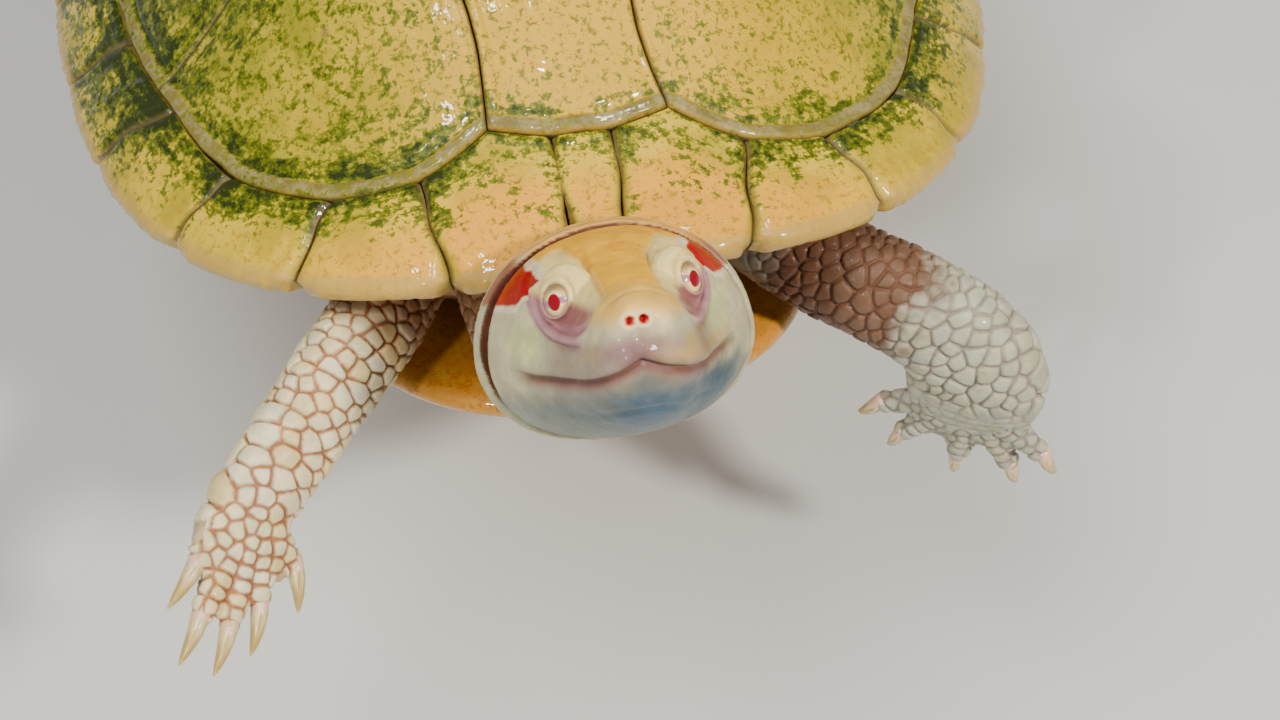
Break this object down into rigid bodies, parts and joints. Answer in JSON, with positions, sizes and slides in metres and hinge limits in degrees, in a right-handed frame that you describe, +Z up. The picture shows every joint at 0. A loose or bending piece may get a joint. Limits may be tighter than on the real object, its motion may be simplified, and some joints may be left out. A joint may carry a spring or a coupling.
{
  "type": "red-eared slider turtle model",
  "caption": "Albino red-eared slider turtle, a still life-size model swimming nose up with its head raised, on a plain rod stand.",
  "frame": {"origin": "centre of the stand base's underside, on the surface the stand rests on", "axes": "+Z up, -Y the way the turtle swims and faces, +X towards the turtle's left side"},
  "size_m": [0.1733, 0.2616, 0.1535],
  "materials": {
    "scute_keratin": "wet keratin over ochre, algae stained green at the seams",
    "marginal_keratin": "wet keratin, orange by the head and green-stained round the sides",
    "plastron_keratin": "smooth yellow-orange keratin",
    "head_skin": "wet ivory and orange-yellow skin with red ear patches",
    "jaw_skin": "wet pale grey-green skin",
    "neck_skin": "wrinkled pale skin",
    "trunk_skin": "granular grey-brown skin",
    "limb_skin": "cream scales on pink skin",
    "foot_skin": "cream scales and pale webs",
    "tail_skin": "cream scales on pink skin",
    "eye_globe": "wet eye, cream iris and crimson pupil",
    "claw_horn": "smooth horn",
    "stand_enamel": "satin pale grey enamel",
    "stand_steel": "brushed"
  },
  "bodies": {
    "root": {"vertebral_1": "scute_keratin", "vertebral_2": "scute_keratin", "vertebral_3": "scute_keratin", "vertebral_4": "scute_keratin", "vertebral_5": "scute_keratin", "costal_left_1": "scute_keratin", "costal_left_2": "scute_keratin", "costal_left_3": "scute_keratin", "costal_left_4": "scute_keratin", "costal_right_1": "scute_keratin", "costal_right_2": "scute_keratin", "costal_right_3": "scute_keratin", "costal_right_4": "scute_keratin", "cervical": "marginal_keratin", "marginals_front_left": "marginal_keratin", "marginals_front_right": "marginal_keratin", "marginals_bridge_left": "marginal_keratin", "marginals_bridge_right": "marginal_keratin", "marginals_rear_left": "marginal_keratin", "marginals_rear_right": "marginal_keratin", "plastron": "plastron_keratin", "trunk": "trunk_skin", "head": "head_skin", "lower_jaw": "jaw_skin", "neck": "neck_skin", "eye_left": "eye_globe", "eye_right": "eye_globe", "leg_front_right": "limb_skin", "leg_front_left": "limb_skin", "leg_hind_right": "limb_skin", "leg_hind_left": "limb_skin", "foot_front_right": "foot_skin", "foot_front_left": "foot_skin", "foot_hind_right": "foot_skin", "foot_hind_left": "foot_skin", "claw_front_right_1": "claw_horn", "claw_front_right_2": "claw_horn", "claw_front_right_3": "claw_horn", "claw_front_right_4": "claw_horn", "claw_front_right_5": "claw_horn", "claw_front_left_1": "claw_horn", "claw_front_left_2": "claw_horn", "claw_front_left_3": "claw_horn", "claw_front_left_4": "claw_horn", "claw_front_left_5": "claw_horn", "claw_hind_right_1": "claw_horn", "claw_hind_right_2": "claw_horn", "claw_hind_right_3": "claw_horn", "claw_hind_right_4": "claw_horn", "claw_hind_left_1": "claw_horn", "claw_hind_left_2": "claw_horn", "claw_hind_left_3": "claw_horn", "claw_hind_left_4": "claw_horn", "tail": "tail_skin", "stand_base": "stand_enamel", "stand_rod_front": "stand_steel", "stand_rod_rear": "stand_steel"}
  },
  "joints": []
}
